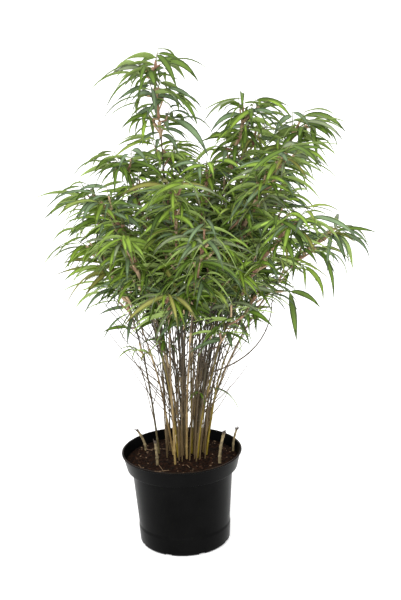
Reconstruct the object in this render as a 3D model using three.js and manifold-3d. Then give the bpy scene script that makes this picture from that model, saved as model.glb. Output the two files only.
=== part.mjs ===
// A clump-forming bamboo in a round black nursery pot, in millimetres, +Z up.
// The origin is the centre of the pot's flat underside. +X is to the plant's right and +Y to its back.
// Each cane stands on the soil, and its stem, twigs and leaves carry on from its tip as one foliage mass.
import * as THREE from "three";
import { mergeVertices } from "three/addons/utils/BufferGeometryUtils.js";
import Module from "manifold-3d";

const wasm = await Module();
wasm.setup();

// Pot
const POT_TOP_DIAMETER = 225;
const POT_FOOT_DIAMETER = 170;
const POT_HEIGHT = 180;
const POT_WALL = 2;
const COLLAR_HEIGHT = 32;
const COLLAR_FOOT_DIAMETER = 207;
const BODY_TOP_DIAMETER = 189;
const LIP_HEIGHT = 3;
const LIP_OVERHANG = 2;
const FOOT_CHAMFER = 4;
const POT_FACETS = 36;
const DRAIN_COUNT = 8;
const DRAIN_WIDTH = 13;
const DRAIN_HEIGHT = 6;
const DRAIN_DEPTH = 14;

// Soil, flat on top, below the pot's rim
const SEAT_GAP = 0.3; // between two pieces that meet
const SOIL_BELOW_RIM = 18;
const SOIL_TOP = POT_HEIGHT - SOIL_BELOW_RIM;

// Canes
const CANE_FOOT_RADIUS = 2.2;
const CANE_TIP_RADIUS = 1.4; // where the cane enters its foliage
const STEM_TIP_RADIUS = 1.2;
const CANE_SIDES = 5;
const CANE_STEPS = 4;
const STEM_SIDES = 4;
const STEM_STEPS = 2;
const CANE_BOW_OUT = 0.2; // how far out the cane's control point lies, as a share of its reach
const CANE_BOW_UP = 0.64; // and how far up, as a share of its rise
const BARE_LINE_STEPS = 6; // straight steps that stand for a cane's curve where distances are measured
const STEM_LINE_STEPS = 5;

// Rings of canes, step degrees apart: feet on a circle of footRadius round footCentre, tips on an oval
// round centre that is reach wide and depth deep to each side. The ring of tips is rightRise higher on the
// right and frontRise higher at the front than in the middle. seed draws the first cane's foliage, and the
// numbers after it the others'.
const RINGS = [
  { name: "skirt", count: 4, phase: 72.5, step: 90, footCentre: [0, 12], footRadius: 46, centre: 30,
    reach: 135, depth: 150, height: 490, rightRise: 0, frontRise: 40, foliage: 95, seed: 59 },
  { name: "low", count: 7, phase: 65, step: 40, footCentre: [12, 16], footRadius: 27, centre: 80,
    reach: 214, depth: 210, height: 598, rightRise: 14, frontRise: 40, foliage: 175, seed: 45 },
  { name: "upper", count: 7, phase: 8, step: 51.4, footCentre: [14, 16], footRadius: 18, centre: 46,
    reach: 194, depth: 172, height: 712, rightRise: 52, frontRise: 0, foliage: 230, seed: 29 },
];
const RING_WANDER = 9; // degrees and millimetres that a ring's canes stray by
const FOOT_WANDER = 2;

// The tallest canes and the arm on the right, each with its own foot, tip, length of leafy stem and seed
const PEAKS = [
  { name: "tall_left", foot: [6, 20], tip: [-22, 15, 888], foliage: 190, seed: 114 },
  { name: "right_peak", foot: [22, 20], tip: [141, 0, 808], foliage: 170, seed: 137 },
  { name: "shoulder_left", foot: [8, 9], tip: [-76, -30, 724], foliage: 180, seed: 334 },
  { name: "middle", foot: [18, 10], tip: [66, -25, 700], foliage: 220, seed: 150 },
  { name: "right_arm", foot: [39, 18], tip: [280, 10, 584], foliage: 120, seed: 114 },
];
const CROWN_CENTRE = 60;

// Twigs stand in levels round a stem, at a narrow angle to it
const LEVEL_SPACING = 62;
const TWIGS_PER_LEVEL = 2;
const LEVEL_START = 0.55; // share of its level where its first twig stands
const LEVEL_STEP = 0.2; // share of its level between twigs
const TWIG_SIDES = 3;
const TWIG_RADIUS = 0.9;
const TWIG_TIP_RADIUS = 1.3;
const TWIG_LENGTH = 58;
const TWIG_SHORTEST = 0.7;
const TWIG_LONGEST = 1.15;
const TWIG_ANGLE = 34; // degrees from the stem
const TWIG_STRAY = 10; // degrees
const GOLDEN_ANGLE = 137.5; // degrees between one twig and the next
const OUTWARD_PULL = 0.35; // how much twigs turn to the outside of the crown
const TWIG_CHECKS = [0.5, 1]; // shares of a twig where its room is tested

// Leaves fan out from the end of each twig and droop
const LEAVES_PER_TWIG = 4;
const LEAF_LENGTH = 100;
const LEAF_WIDTH = 16;
const LEAF_THICKNESS = 2;
const LEAF_SINK = 0.6; // how far its root lies past the middle line of its twig
const LEAF_WIDEST = 0.38; // share of the leaf's length
const LEAF_DROOPS = [0.36, 0.72]; // how far a leaf's outer half turns down, least and most
const STEM_TOP = 0.85; // share of the stem above which it bears leaves itself
const LEAF_FIRST = 0.93; // share of the twig where its last leaf stands
const LEAF_STEP = 0.16; // share of the twig between leaves
const LEAF_SWING = 58; // degrees between neighbouring leaves of a twig
const LEAF_STRAY = 20; // degrees
const LEAF_ROLL = 60; // degrees that a leaf may roll about its own length
const LEAF_CLIMB = [-0.15, 0.5]; // slope of a leaf at its root, least and most
const LEAF_LENGTHS = [0.75, 1.15]; // shares of LEAF_LENGTH
const RETRY_SHRINK = 0.93; // a leaf that found no room is drawn again shorter
const RETRY_STRAY = 0.5; // and strays further
const LEAF_TRIES = 7;
const LEAF_CLEARANCE = 9; // from a leaf's outer half to other leaves and twigs, and less near its root
const LIMB_CLEARANCE = 10; // from a leaf's middle line to any cane
const SPACE_MARGIN = 3; // a leaf is this much nearer to its own stem than to any other
const SPACE_CHECKS = [0.2, 0.4, 0.6, 0.8, 1]; // shares of a leaf where its space is tested
const ROOM_CHECKS = [0.15, 0.35, 0.55, 0.75, 0.95]; // and where its room among its neighbours is
const ROOT_ROOM = 0.25; // share of LEAF_CLEARANCE that a leaf keeps at its root, growing along it
const LEAF_LINE_STEPS = 5;

// Old canes that were cut down: foot, height, lean and radius
const STUBS = [
  { name: "stub_left", foot: [-70, 48], height: 38, lean: [-14, 4], radius: 2.6 },
  { name: "stub_front_left", foot: [-46, -24], height: 42, lean: [-2, 2], radius: 2.8 },
  { name: "stub_right", foot: [70, -28], height: 56, lean: [10, 6], radius: 3 },
  { name: "stub_far_right", foot: [97, 29], height: 42, lean: [8, 2], radius: 2.3 },
];
const STUB_TAPER = 0.85;
const STUB_STEPS = 3;

const SHORTEST_EDGE = 0.06; // shorter ones, left where leaves and twigs cross, are closed up
const SHARED_CORNERS = 4; // by an edge's ends: each other, and the far corners of the two triangles beside it

// The repeatable streams that everything strays by
const STREAM_STRIDE = 7919; // between the starts of two seeds
const STREAM_START = 12345;
const STREAM_FACTOR = 16807;
const STREAM_MODULUS = 2147483647;
const STREAM_WARM_UP = 5;

const DOWN = new THREE.Vector3(0, 0, -1);
const RIGHT = new THREE.Vector3(1, 0, 0);
const radians = THREE.MathUtils.degToRad;

// A repeatable stream of numbers from 0 to 1.
function stream(seed) {
  let state = seed * STREAM_STRIDE + STREAM_START;
  const next = () => {
    state = (state * STREAM_FACTOR) % STREAM_MODULUS;
    return state / STREAM_MODULUS;
  };
  for (let i = 0; i < STREAM_WARM_UP; i++) next();
  return next;
}

function between(next, low, high) {
  return low + (high - low) * next();
}

function towards(from, direction, length) {
  return from.clone().addScaledVector(direction, length);
}

// A closed three.js geometry as a solid that can be joined and cut.
function solidOf(geometry) {
  geometry.deleteAttribute("normal");
  geometry.deleteAttribute("uv");
  const merged = mergeVertices(geometry);
  const mesh = new wasm.Mesh({
    numProp: 3,
    vertProperties: new Float32Array(merged.attributes.position.array),
    triVerts: new Uint32Array(merged.index.array),
  });
  return new wasm.Manifold(mesh);
}

// The corners of all triangles that meet at a corner.
function cornersAround(corner, triangles) {
  return new Set(triangles.filter((triangle) => triangle.includes(corner)).flat());
}

// A very short edge between triangles, as its two ends, or nothing. One whose ends share more corners
// than an edge's ends must is passed over, to keep the solid closed.
function shortEdge(triangles, pointAt) {
  for (const triangle of triangles) {
    for (let k = 0; k < 3; k++) {
      const [from, to] = [triangle[k], triangle[(k + 1) % 3]];
      if (pointAt(from).distanceTo(pointAt(to)) >= SHORTEST_EDGE) continue;
      const shared = cornersAround(from, triangles).intersection(cornersAround(to, triangles));
      if (shared.size === SHARED_CORNERS) return [from, to];
    }
  }
  return null;
}

// The corners of a mesh's triangles after the ends of each very short edge are drawn together.
function withoutShortEdges(positions, corners) {
  const pointAt = (corner) => new THREE.Vector3().fromArray(positions, 3 * corner);
  let triangles = [];
  for (let i = 0; i < corners.length; i += 3) triangles.push(Array.from(corners.slice(i, i + 3)));
  for (let edge = shortEdge(triangles, pointAt); edge; edge = shortEdge(triangles, pointAt)) {
    const [from, to] = edge;
    triangles = triangles
      .map((triangle) => triangle.map((corner) => (corner === from ? to : corner)))
      .filter((triangle) => new Set(triangle).size === 3);
  }
  return triangles.flat();
}

function geometryOf(solid) {
  const { vertProperties, triVerts } = solid.getMesh();
  const geometry = new THREE.BufferGeometry();
  geometry.setAttribute("position", new THREE.BufferAttribute(new Float32Array(vertProperties), 3));
  geometry.setIndex(withoutShortEdges(vertProperties, triVerts));
  geometry.computeVertexNormals();
  return geometry;
}

function geometryFrom(points, faces) {
  const geometry = new THREE.BufferGeometry();
  geometry.setAttribute("position", new THREE.Float32BufferAttribute(points.flat(), 3));
  geometry.setIndex(faces.flat());
  return geometry;
}

// Bends a geometry that stands along Y from 0 to 1 so that it follows the curve; side is where its X goes.
function bend(geometry, curve, side) {
  const position = geometry.attributes.position;
  for (let i = 0; i < position.count; i++) {
    const share = position.getY(i);
    const along = curve.getTangent(share);
    const across = side.clone().addScaledVector(along, -side.dot(along)).normalize();
    const normal = across.clone().cross(along);
    const point = curve.getPoint(share);
    point.addScaledVector(across, position.getX(i)).addScaledVector(normal, position.getZ(i));
    position.setXYZ(i, point.x, point.y, point.z);
  }
  return geometry;
}

// A tapering limb along a curve: rings of corners, closed at both ends.
function limb(curve, footRadius, tipRadius, sides, steps) {
  const points = [];
  const faces = [];
  for (let step = 0; step <= steps; step++) {
    const radius = THREE.MathUtils.lerp(footRadius, tipRadius, step / steps);
    for (let k = 0; k < sides; k++) {
      const turn = (k / sides) * 2 * Math.PI;
      points.push([radius * Math.cos(turn), step / steps, radius * Math.sin(turn)]);
    }
  }
  for (let step = 0; step < steps; step++) {
    for (let k = 0; k < sides; k++) {
      const low = step * sides + k;
      const lowNext = step * sides + ((k + 1) % sides);
      faces.push([low, low + sides, lowNext + sides], [low, lowNext + sides, lowNext]);
    }
  }
  const top = steps * sides;
  for (let k = 1; k < sides - 1; k++) {
    faces.push([0, k, k + 1], [top, top + k + 1, top + k]);
  }
  return bend(geometryFrom(points, faces), curve, RIGHT);
}

// Slides the foot's corners along the limb's own direction, so that the limb is cut flat at a height.
function cutFlat(geometry, curve, sides, height) {
  const position = geometry.attributes.position;
  const along = curve.getTangent(0);
  for (let i = 0; i < sides; i++) {
    const corner = new THREE.Vector3().fromBufferAttribute(position, i);
    corner.addScaledVector(along, (height - corner.z) / along.z);
    position.setXYZ(i, corner.x, corner.y, corner.z);
  }
  return geometry;
}

// The part of a quadratic curve between two shares of it.
function stretch(curve, from, to) {
  const start = curve.getPoint(from);
  const slope = curve.v1.clone().sub(curve.v0).lerp(curve.v2.clone().sub(curve.v1), from);
  return new THREE.QuadraticBezierCurve3(start, towards(start, slope, to - from), curve.getPoint(to));
}

// A cane's curve from its foot on the soil to the top of its leafy stem, and its bare and leafy parts.
function caneOf(name, foot, tip, centre, foliage, seed) {
  const start = new THREE.Vector3(foot[0], foot[1], SOIL_TOP + SEAT_GAP);
  const end = new THREE.Vector3(...tip);
  const rise = end.clone().sub(start);
  const control = new THREE.Vector3(
    start.x + rise.x * CANE_BOW_OUT,
    start.y + rise.y * CANE_BOW_OUT,
    start.z + rise.z * CANE_BOW_UP,
  );
  const curve = new THREE.QuadraticBezierCurve3(start, control, end);
  const length = curve.getLength();
  const entry = 1 - foliage / length;
  const bare = stretch(curve, 0, entry);
  const stem = stretch(curve, entry + SEAT_GAP / length, 1);
  const levels = Math.round(foliage / LEVEL_SPACING);
  const bareLine = bare.getPoints(BARE_LINE_STEPS);
  const stemLine = stem.getPoints(STEM_LINE_STEPS);
  return { name, centre, bare, stem, levels, bareLine, stemLine, seed };
}

function ringCanes(ring, seed) {
  const next = stream(seed);
  const canes = [];
  for (let i = 0; i < ring.count; i++) {
    const azimuth = radians(ring.phase + i * ring.step + between(next, -RING_WANDER, RING_WANDER));
    const footRadius = ring.footRadius + between(next, -FOOT_WANDER, FOOT_WANDER);
    const stray = between(next, -RING_WANDER, RING_WANDER);
    const [across, back] = [Math.cos(azimuth), Math.sin(azimuth)];
    const rise = ring.rightRise * across - ring.frontRise * back;
    const height = ring.height + rise + between(next, -RING_WANDER, RING_WANDER);
    const foot = [ring.footCentre[0] + footRadius * across, ring.footCentre[1] + footRadius * back];
    const tip = [ring.centre + (ring.reach + stray) * across, (ring.depth + stray) * back, height];
    canes.push(caneOf(`${ring.name}_${i + 1}`, foot, tip, ring.centre, ring.foliage, ring.seed + i));
  }
  return canes;
}

const canes = [
  ...RINGS.flatMap((ring, index) => ringCanes(ring, index + 1)),
  ...PEAKS.map((peak) => caneOf(peak.name, peak.foot, peak.tip, CROWN_CENTRE, peak.foliage, peak.seed)),
];

// Distance from a point to a line of points.
function distanceTo(line, point) {
  const piece = new THREE.Line3();
  const nearest = new THREE.Vector3();
  let least = Infinity;
  for (let i = 1; i < line.length; i++) {
    piece.set(line[i - 1], line[i]).closestPointToPoint(point, true, nearest);
    least = Math.min(least, nearest.distanceTo(point));
  }
  return least;
}

// Whether points lie in the space nearest to a cane's own stem, and clear of every cane.
function keepsToItsSpace(points, own) {
  return points.every((point) => {
    const reach = distanceTo(own.stemLine, point) + SPACE_MARGIN;
    return canes.every(
      (cane) =>
        distanceTo(cane.bareLine, point) > LIMB_CLEARANCE &&
        (cane === own || distanceTo(cane.stemLine, point) > reach),
    );
  });
}

// A leaf's curve: out along its direction, then over and down.
function leafCurve(root, direction, length, droop) {
  const middle = towards(root, direction, length / 2);
  const fall = direction.clone().lerp(DOWN, droop).normalize();
  return new THREE.QuadraticBezierCurve3(root, middle, towards(middle, fall, length / 2));
}

// A leaf's blade, pointed at root and tip, with a keel below its widest place.
function leafBlade(curve, side) {
  const points = [
    [0, 0, 0],
    [LEAF_WIDTH / 2, LEAF_WIDEST, 0],
    [-LEAF_WIDTH / 2, LEAF_WIDEST, 0],
    [0, LEAF_WIDEST, -LEAF_THICKNESS],
    [0, 1, 0],
  ];
  const faces = [
    [0, 1, 2],
    [0, 3, 1],
    [0, 2, 3],
    [4, 2, 1],
    [4, 1, 3],
    [4, 3, 2],
  ];
  return bend(geometryFrom(points, faces), curve, side);
}

// Points along a leaf and at its two edges, to tell whether it keeps to its space.
function leafPoints(curve, side) {
  const points = SPACE_CHECKS.map((share) => curve.getPoint(share));
  const widest = curve.getPoint(LEAF_WIDEST);
  return [...points, towards(widest, side, LEAF_WIDTH / 2), towards(widest, side, -LEAF_WIDTH / 2)];
}

// Whether a leaf is clear of the stem, twigs and leaves that are laid already.
function clearsAll(curve, laid) {
  return ROOM_CHECKS.every((share) => {
    const point = curve.getPoint(share);
    const clearance = LEAF_CLEARANCE * Math.min(1, share + ROOT_ROOM);
    return laid.every((line) => distanceTo(line, point) > clearance);
  });
}

// A leaf drawn again, each time a little shorter, until it has room, or nothing.
function leafAt(place, azimuth, cane, laid, next) {
  let length = LEAF_LENGTH * between(next, ...LEAF_LENGTHS);
  for (let attempt = 0; attempt < LEAF_TRIES; attempt++) {
    const stray = LEAF_STRAY * (1 + RETRY_STRAY * attempt);
    const turn = azimuth + radians(between(next, -stray, stray));
    const climb = between(next, ...LEAF_CLIMB);
    const direction = new THREE.Vector3(Math.cos(turn), Math.sin(turn), climb).normalize();
    const droop = between(next, ...LEAF_DROOPS);
    const side = new THREE.Vector3(Math.sin(turn), -Math.cos(turn), 0);
    side.applyAxisAngle(direction, radians(between(next, -LEAF_ROLL, LEAF_ROLL)));
    const curve = leafCurve(towards(place, direction, -LEAF_SINK), direction, length, droop);
    if (clearsAll(curve, laid) && keepsToItsSpace(leafPoints(curve, side), cane)) {
      laid.push(curve.getPoints(LEAF_LINE_STEPS).slice(1));
      return leafBlade(curve, side);
    }
    length *= RETRY_SHRINK;
  }
  return null;
}

// The direction of a stem's twig: nearly along the stem, turned about it, and a little outwards.
function twigDirection(cane, share, index, next) {
  const start = cane.stem.getPoint(share);
  const around = radians(GOLDEN_ANGLE * index + between(next, -TWIG_STRAY, TWIG_STRAY));
  const outward = new THREE.Vector3(start.x - cane.centre, start.y, 0).normalize();
  const radial = new THREE.Vector3(Math.cos(around), Math.sin(around), 0);
  radial.addScaledVector(outward, OUTWARD_PULL).normalize();
  const lean = radians(TWIG_ANGLE + between(next, -TWIG_STRAY, TWIG_STRAY));
  const direction = cane.stem.getTangent(share).multiplyScalar(Math.cos(lean));
  return direction.addScaledVector(radial, Math.sin(lean)).normalize();
}

// The leaves of a twig, from its tip down, to alternate sides.
function leavesOf(twig, cane, laid, next) {
  const along = twig.getTangent(0);
  const azimuth = Math.atan2(along.y, along.x);
  const leaves = [];
  for (let i = 0; i < LEAVES_PER_TWIG; i++) {
    const swing = radians(LEAF_SWING * Math.ceil(i / 2) * (i % 2 === 0 ? 1 : -1));
    leaves.push(leafAt(twig.getPoint(LEAF_FIRST - LEAF_STEP * i), azimuth + swing, cane, laid, next));
  }
  return leaves.filter((leaf) => leaf);
}

// The twigs of a stem, level by level, without those that would leave its space.
function twigsOf(cane, next) {
  const twigs = [];
  for (let i = 0; i < cane.levels * TWIGS_PER_LEVEL; i++) {
    const level = Math.floor(i / TWIGS_PER_LEVEL);
    const share = (level + LEVEL_START + LEVEL_STEP * (i % TWIGS_PER_LEVEL)) / cane.levels;
    const start = cane.stem.getPoint(share);
    const direction = twigDirection(cane, share, i, next);
    const length = TWIG_LENGTH * between(next, TWIG_SHORTEST, TWIG_LONGEST);
    const twig = new THREE.LineCurve3(start, towards(start, direction, length));
    if (keepsToItsSpace(TWIG_CHECKS.map((check) => twig.getPoint(check)), cane)) twigs.push(twig);
  }
  return twigs;
}

// One foliage mass: the stem that carries on from the cane's tip, levels of twigs round it, and their
// leaves. The stem's own tip bears leaves as a twig does.
function foliageOf(cane) {
  const next = stream(cane.seed);
  const twigs = twigsOf(cane, next);
  const laid = [cane.stemLine, ...twigs.map((twig) => twig.getPoints(1))];
  const top = new THREE.LineCurve3(cane.stem.getPoint(STEM_TOP), cane.stem.getPoint(1));
  const leaves = [top, ...twigs].flatMap((twig) => leavesOf(twig, cane, laid, next));
  const stem = limb(cane.stem, CANE_TIP_RADIUS, STEM_TIP_RADIUS, STEM_SIDES, STEM_STEPS);
  const limbs = twigs.map((twig) => limb(twig, TWIG_RADIUS, TWIG_TIP_RADIUS, TWIG_SIDES, 1));
  const fused = wasm.Manifold.union([stem, ...limbs, ...leaves].map(solidOf));
  return geometryOf(fused);
}

const COLLAR_FOOT = POT_HEIGHT - COLLAR_HEIGHT;
const COLLAR_FLOOR = COLLAR_FOOT + POT_WALL;

function turned(outline) {
  const profile = outline.map(([radius, height]) => new THREE.Vector2(radius, height));
  return solidOf(new THREE.LatheGeometry(profile, POT_FACETS).rotateX(Math.PI / 2));
}

// The collar's inside radius at a height.
function collarInside(height) {
  const share = (height - COLLAR_FOOT) / (COLLAR_HEIGHT - LIP_HEIGHT);
  const outside = THREE.MathUtils.lerp(COLLAR_FOOT_DIAMETER / 2, POT_TOP_DIAMETER / 2 - LIP_OVERHANG, share);
  return outside - POT_WALL;
}

// The pot, from the middle of its underside out, up its outside, over its lip and down its inside.
function potGeometry() {
  const footRadius = POT_FOOT_DIAMETER / 2;
  const bodyRadius = BODY_TOP_DIAMETER / 2;
  const topRadius = POT_TOP_DIAMETER / 2;
  let pot = turned([
    [0, 0],
    [footRadius - FOOT_CHAMFER, 0],
    [footRadius, FOOT_CHAMFER],
    [bodyRadius, COLLAR_FOOT],
    [COLLAR_FOOT_DIAMETER / 2, COLLAR_FOOT],
    [topRadius - LIP_OVERHANG, POT_HEIGHT - LIP_HEIGHT],
    [topRadius, POT_HEIGHT - LIP_HEIGHT],
    [topRadius, POT_HEIGHT],
    [collarInside(POT_HEIGHT), POT_HEIGHT],
    [collarInside(COLLAR_FLOOR), COLLAR_FLOOR],
    [bodyRadius - POT_WALL, COLLAR_FLOOR],
    [footRadius - POT_WALL, FOOT_CHAMFER + POT_WALL],
    [footRadius - POT_WALL - FOOT_CHAMFER, POT_WALL],
    [0, POT_WALL],
  ]);
  for (let i = 0; i < DRAIN_COUNT; i++) {
    const notch = new THREE.BoxGeometry(DRAIN_DEPTH, DRAIN_WIDTH, DRAIN_HEIGHT * 2);
    notch.translate(footRadius, 0, 0).rotateZ(((i + 0.5) / DRAIN_COUNT) * 2 * Math.PI);
    pot = pot.subtract(solidOf(notch));
  }
  return geometryOf(pot);
}

// The soil fills the pot, clear of its wall, up to SOIL_TOP.
function soilGeometry() {
  const footRadius = POT_FOOT_DIAMETER / 2 - POT_WALL - 2 * SEAT_GAP;
  const shelf = COLLAR_FLOOR + SEAT_GAP;
  const soil = turned([
    [0, POT_WALL + SEAT_GAP],
    [footRadius - FOOT_CHAMFER, POT_WALL + SEAT_GAP],
    [footRadius, FOOT_CHAMFER + POT_WALL + SEAT_GAP],
    [BODY_TOP_DIAMETER / 2 - POT_WALL - 2 * SEAT_GAP, shelf],
    [collarInside(shelf) - 2 * SEAT_GAP, shelf],
    [collarInside(SOIL_TOP) - 2 * SEAT_GAP, SOIL_TOP],
    [0, SOIL_TOP],
  ]);
  return geometryOf(soil);
}

// A cane from its flat foot on the soil to its foliage.
function caneGeometry(cane) {
  const shaft = limb(cane.bare, CANE_FOOT_RADIUS, CANE_TIP_RADIUS, CANE_SIDES, CANE_STEPS);
  return cutFlat(shaft, cane.bare, CANE_SIDES, SOIL_TOP + SEAT_GAP);
}

function stubGeometry({ foot, height, lean, radius }) {
  const start = new THREE.Vector3(foot[0], foot[1], SOIL_TOP + SEAT_GAP);
  const end = new THREE.Vector3(foot[0] + lean[0], foot[1] + lean[1], start.z + height);
  const curve = new THREE.QuadraticBezierCurve3(start, towards(start, DOWN, -height / 2), end);
  const stub = limb(curve, radius, radius * STUB_TAPER, CANE_SIDES, STUB_STEPS);
  return cutFlat(stub, curve, CANE_SIDES, start.z);
}

const finish = (color, roughness) => new THREE.MeshStandardMaterial({ color, roughness, metalness: 0 });
const POT_BLACK = finish("#131313", 0.45);
const SOIL_BROWN = finish("#2b1a12", 0.95);
const CANE_OLIVE = finish("#8d7f45", 0.6);
const STUB_TAN = finish("#9c8a5c", 0.8);
const LEAF_GREEN = finish("#4c7a2c", 0.55);

const plant = new THREE.Group();

function addNode(name, geometry, material) {
  const mesh = new THREE.Mesh(geometry, material);
  mesh.name = name;
  plant.add(mesh);
}

addNode("pot", potGeometry(), POT_BLACK);
addNode("soil", soilGeometry(), SOIL_BROWN);
STUBS.forEach((stub) => addNode(stub.name, stubGeometry(stub), STUB_TAN));
canes.forEach((cane) => {
  addNode(`cane_${cane.name}`, caneGeometry(cane), CANE_OLIVE);
  addNode(`foliage_${cane.name}`, foliageOf(cane), LEAF_GREEN);
});

export default plant;
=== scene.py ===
# The looks of a clump-forming bamboo in a round black nursery pot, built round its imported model.
# Metres, +Z up. The origin is the centre of the pot's flat underside, +X is to the plant's right and +Y to
# its back. Stems, twigs and leaves grow by the same rule as in the model's source, with the same draws,
# and the rule is carried on to finer twigs and more leaves.
import math
from collections import namedtuple
from functools import partial

import bpy
import numpy as np
from mathutils import Matrix, Vector, noise


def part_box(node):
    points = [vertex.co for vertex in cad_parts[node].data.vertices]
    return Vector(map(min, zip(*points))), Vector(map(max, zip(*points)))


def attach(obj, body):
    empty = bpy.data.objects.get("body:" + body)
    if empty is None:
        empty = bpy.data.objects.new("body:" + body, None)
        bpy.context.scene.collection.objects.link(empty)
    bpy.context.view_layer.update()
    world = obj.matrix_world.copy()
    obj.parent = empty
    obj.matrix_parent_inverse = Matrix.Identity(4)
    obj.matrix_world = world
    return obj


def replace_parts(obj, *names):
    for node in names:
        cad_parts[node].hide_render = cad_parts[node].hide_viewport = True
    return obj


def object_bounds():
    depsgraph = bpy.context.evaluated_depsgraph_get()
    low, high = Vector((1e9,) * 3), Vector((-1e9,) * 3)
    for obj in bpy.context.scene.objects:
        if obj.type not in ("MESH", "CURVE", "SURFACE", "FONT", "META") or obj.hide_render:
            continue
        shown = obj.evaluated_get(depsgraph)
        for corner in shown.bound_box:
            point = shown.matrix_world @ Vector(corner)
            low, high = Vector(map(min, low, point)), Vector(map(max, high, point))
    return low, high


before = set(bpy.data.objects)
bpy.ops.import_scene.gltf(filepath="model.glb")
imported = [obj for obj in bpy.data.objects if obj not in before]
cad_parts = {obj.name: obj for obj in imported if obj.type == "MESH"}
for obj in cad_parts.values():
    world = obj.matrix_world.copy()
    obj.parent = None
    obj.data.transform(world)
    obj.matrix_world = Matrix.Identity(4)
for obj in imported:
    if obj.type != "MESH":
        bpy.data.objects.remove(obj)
CAD_LOW, CAD_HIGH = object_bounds()

MM = 0.001
UP = np.array([0.0, 0.0, 1.0])
DOWN = -UP
ASIDE = np.array([0.93, 0.37, 0.0])  # a direction that no limb runs along

# Pot
POT_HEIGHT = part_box("pot")[1].z
POT_TOP_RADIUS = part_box("pot")[1].x
POT_FOOT_RADIUS = 85 * MM
POT_WALL = 2 * MM
COLLAR_HEIGHT = 32 * MM
COLLAR_FOOT_RADIUS = 103.5 * MM
BODY_TOP_RADIUS = 94.5 * MM
LIP_HEIGHT = 3 * MM
LIP_OVERHANG = 2 * MM
FOOT_CHAMFER = 4 * MM
FOOT_BAND_HEIGHT = 34 * MM
FOOT_BAND_STEP = 1 * MM
FOOT_BAND_SLOPE = 5 * MM  # height over which the band steps in
POT_SIDES = 144
POT_FILLET = 1.2 * MM
FILLET_STEPS = 4
DRAIN_COUNT = 8
DRAIN_SIZE = (14 * MM, 13 * MM, 12 * MM)
SHARP_ANGLE = 35

# Compost
SOIL_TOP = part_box("soil")[1].z
COMPOST_RINGS = 46
COMPOST_SIDES = 150
COMPOST_ROUGH = [(22 * MM, 2.2 * MM), (6 * MM, 1.3 * MM), (2.5 * MM, 0.5 * MM)]  # size and height of bumps
COMPOST_DROP = 1.5 * MM  # of its edge below the model's flat top
COMPOST_MOUND = 7 * MM  # rise of the compost at the clump
MOUND_RADIUS = 50 * MM
CHIP_COUNT = 1100
CHIP_LENGTHS = [2 * MM, 7 * MM]
CHIP_SHRINK = 0.5  # least share of its length that a chip shrinks to
CHIP_WIDTHS = [0.35, 0.8]  # shares of a chip's length
CHIP_DEPTHS = [0.15, 0.45]
CHIP_CORNERS = [0.6, 1.1]  # how far out each corner lies, as a share of a box's
CHIP_TILT = 0.6  # radians, at most
CHIP_RISE = 0.3  # share of its depth that a chip's centre lies above the compost
CHIP_COLORS = {
    "dark": (0.009, 0.004, 0.002),
    "red": (0.028, 0.01, 0.005),
    "brown": (0.05, 0.022, 0.011),
    "pale": (0.2, 0.13, 0.08),
}
CHIP_DARKNESS = 3.2  # above 1 it makes pale chips fewer
CHIP_KINDS = 4.1  # a little over the number of colours, for a few more pale chips
LITTER_MARGIN = 4 * MM  # between chips and the pot's wall
STRAW_COUNT = 7
STRAW_LENGTHS = [12 * MM, 32 * MM]
STRAW_REACH = 0.9  # share of the chips' reach
STRAW_CLIMB = [-0.1, 0.15]
STRAW_HEIGHT = 1.2 * MM
STRAW_RADIUS = 0.6 * MM
STRAW_STEPS = 3
ROOTING_DEPTH = 6 * MM  # how far canes carry on down into the compost

# Canes
SEAT_GAP = 0.3 * MM
CANE_FOOT_RADIUS = 2.1 * MM
CANE_TIP_RADIUS = 1.3 * MM
STEM_TIP_RADIUS = 1.0 * MM
CANE_SIDES = 12
CANE_BOW_OUT = 0.2
CANE_BOW_UP = 0.64
BARE_LINE_STEPS = 6
STEM_LINE_STEPS = 5
LENGTH_STEPS = 200
NODE_SPACING = [38 * MM, 95 * MM]  # between the joints of a cane, at its foot and its tip
FIRST_NODE = 0.7  # share of that spacing where the first joint stands
LAST_NODE = 5 * MM  # least distance of a joint from the tip
NODE_PROFILE = [(-3.5, 1.0), (-1.2, 1.13), (0, 1.26), (0.9, 1.12), (3.5, 0.96)]  # mm, and share of radius
RING_SPACING = 16 * MM
SHEATH_SHARE = 0.45  # of the space between two joints that an old sheath covers
SHEATH_THICKNESS = 0.35 * MM
SHEATH_FLARE = np.array([1, 1.05, 1.08, 1.14, 1.25])  # of its radius, from its foot to its upper edge
SHEATH_SIDES = 8
SHEATHED = 0.22  # share of the canes' joints that bear one

# Rings of canes, in millimetres and degrees: feet on a circle round a point, tips on an oval that rises
# towards the right and the front, and the number of finer twigs on each level of a stem
RINGS = [
    dict(name="skirt", count=4, phase=72.5, step=90, foot_centre=(0, 12), foot=46, centre=30, reach=135,
         depth=150, height=490, right=0, front=40, foliage=95, fine=1, seed=59),
    dict(name="low", count=7, phase=65, step=40, foot_centre=(12, 16), foot=27, centre=80, reach=214,
         depth=210, height=598, right=14, front=40, foliage=175, fine=3, seed=45),
    dict(name="upper", count=7, phase=8, step=51.4, foot_centre=(14, 16), foot=18, centre=46, reach=194,
         depth=172, height=712, right=52, front=0, foliage=230, fine=4, seed=29),
]
RING_WANDER = 9  # degrees and millimetres that a ring's canes stray by
FOOT_WANDER = 2

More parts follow.
